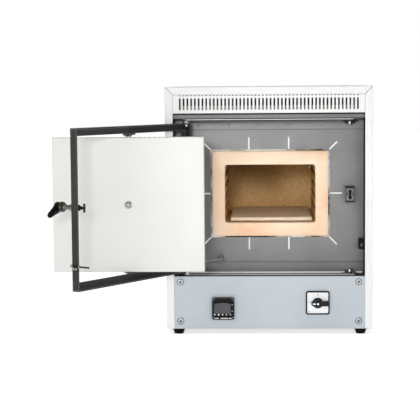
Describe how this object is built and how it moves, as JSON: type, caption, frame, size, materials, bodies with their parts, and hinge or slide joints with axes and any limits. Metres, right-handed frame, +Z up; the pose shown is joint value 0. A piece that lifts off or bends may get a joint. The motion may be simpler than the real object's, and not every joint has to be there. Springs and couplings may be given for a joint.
{
  "type": "bench-top muffle kiln",
  "caption": "Bench-top muffle kiln with a parallel-swinging insulated door on a hinged frame, a ceramic chamber with side heating coils, and a controller below.",
  "frame": {"origin": "on the bench, midway between the four feet, under the centre of the cabinet", "axes": "+X to the right seen from the front, +Y from the door towards the rear panel, +Z up"},
  "size_m": [0.6627, 0.9152, 0.529],
  "materials": {
    "cabinet_paint": "off-white powder coat, smooth",
    "door_paint": "white powder coat, satin",
    "control_paint": "pale blue-grey powder coat",
    "zinc_sheet": "bare rolled steel sheet",
    "dark_steel": "dark grey heat-resistant paint",
    "bright_steel": "bright zinc-plated steel",
    "brass_bush": "turned brass",
    "muffle_ceramic": "dense fired fibre ceramic, matt, warm cream",
    "hearth_ceramic": "cordierite plate, matt",
    "fibre": "white ceramic fibre board and blanket, soft matt",
    "heating_wire": "oxidised resistance wire",
    "sheath_alloy": "oxidised alloy sheath",
    "black_plastic": "fine-textured black plastic",
    "screen_plastic": "smoked display window",
    "key_plastic": "dark grey keys",
    "white_plastic": "white printed plate",
    "terminal_plastic": "cream terminal moulding",
    "heatsink_alloy": "extruded aluminium",
    "foot_rubber": "black rubber"
  },
  "bodies": {
    "cabinet": {"base_plate": "zinc_sheet", "bottom_hinge_rail": "zinc_sheet", "chamber_shelf": "zinc_sheet", "control_panel": "control_paint", "controller_body": "black_plastic", "controller_screen": "screen_plastic", "feet": "foot_rubber", "fibre_board": "fibre", "front_plate": "zinc_sheet", "header_rail": "zinc_sheet", "hearth_plate": "hearth_ceramic", "hinge_pins": "bright_steel", "interlock_switch": "black_plastic", "latch_bracket": "zinc_sheet", "left_heating_coil": "heating_wire", "left_side_panel": "cabinet_paint", "link_anchor": "bright_steel", "mains_gland": "black_plastic", "muffle_back": "muffle_ceramic", "muffle_collar": "muffle_ceramic", "muffle_insulation": "fibre", "muffle_left_wall": "muffle_ceramic", "muffle_right_wall": "muffle_ceramic", "muffle_slabs": "muffle_ceramic", "panel_screws": "bright_steel", "rear_insulation": "fibre", "rear_panel": "cabinet_paint", "right_heating_coil": "heating_wire", "right_side_panel": "cabinet_paint", "solid_state_relay": "heatsink_alloy", "spare_sockets": "bright_steel", "switch_body": "black_plastic", "switch_plate": "white_plastic", "terminal_block": "terminal_plastic", "thermocouple": "sheath_alloy", "top_cover": "cabinet_paint", "top_hinge_rail": "zinc_sheet", "vent_grille": "cabinet_paint"},
    "door_frame": {"frame_top_bar": "dark_steel", "frame_bottom_bar": "dark_steel", "frame_free_bar": "dark_steel", "frame_hinge_bar": "dark_steel", "pivot_brackets": "dark_steel", "latch_bush": "brass_bush", "interlock_rod": "bright_steel"},
    "door_panel": {"door_skin": "door_paint", "door_plug": "fibre", "pivot_bolts": "bright_steel", "centre_cap": "black_plastic", "link_lug": "bright_steel"},
    "link": {"link_bar": "bright_steel"},
    "latch": {"latch_shaft": "bright_steel", "latch_handle": "black_plastic"},
    "selector": {"switch_knob": "black_plastic"},
    "key_1": {"controller_key_1": "key_plastic"},
    "key_2": {"controller_key_2": "key_plastic"},
    "key_3": {"controller_key_3": "key_plastic"},
    "key_4": {"controller_key_4": "key_plastic"},
    "key_5": {"controller_key_5": "key_plastic"},
    "lever": {"interlock_lever": "zinc_sheet"}
  },
  "joints": [
    {"name": "door_swing", "type": "hinge", "parent": "cabinet", "child": "door_frame", "pos_m": [-0.176, -0.275, 0.2925], "axis": [0, 0, 1], "range_deg": [-2, 124]},
    {"name": "panel_swivel", "type": "hinge", "parent": "door_frame", "child": "door_panel", "pos_m": [-0.28768, -0.41196, 0.28975], "axis": [0, 0, 1], "range_deg": [-124, 2]},
    {"name": "link_swing", "type": "hinge", "parent": "cabinet", "child": "link", "pos_m": [-0.105, -0.243, 0.1565], "axis": [0, 0, 1], "range_deg": [-2, 124]},
    {"name": "latch_turn", "type": "hinge", "parent": "door_frame", "child": "latch", "pos_m": [-0.37144, -0.56475, 0.297], "axis": [-0.829, 0.5592, 0], "range_deg": [0, 90]},
    {"name": "switch_turn", "type": "hinge", "parent": "cabinet", "child": "selector", "pos_m": [0.103, -0.2985, 0.068], "axis": [0, 1, 0], "range_deg": [-90, 0]},
    {"name": "key_1_press", "type": "slide", "parent": "cabinet", "child": "key_1", "axis": [0, 1, 0], "range_m": [0, 0.0006], "stiffness_N_per_m": 400},
    {"name": "key_2_press", "type": "slide", "parent": "cabinet", "child": "key_2", "axis": [0, 1, 0], "range_m": [0, 0.0006], "stiffness_N_per_m": 400},
    {"name": "key_3_press", "type": "slide", "parent": "cabinet", "child": "key_3", "axis": [0, 1, 0], "range_m": [0, 0.0006], "stiffness_N_per_m": 400},
    {"name": "key_4_press", "type": "slide", "parent": "cabinet", "child": "key_4", "axis": [0, 1, 0], "range_m": [0, 0.0006], "stiffness_N_per_m": 400},
    {"name": "key_5_press", "type": "slide", "parent": "cabinet", "child": "key_5", "axis": [0, 1, 0], "range_m": [0, 0.0006], "stiffness_N_per_m": 400},
    {"name": "lever_press", "type": "slide", "parent": "cabinet", "child": "lever", "axis": [0, 1, 0], "range_m": [0, 0.003], "stiffness_N_per_m": 300}
  ],
  "couplings": [
    {"joint": "panel_swivel", "follows": "door_swing", "ratio": -1},
    {"joint": "link_swing", "follows": "door_swing", "ratio": 1}
  ]
}
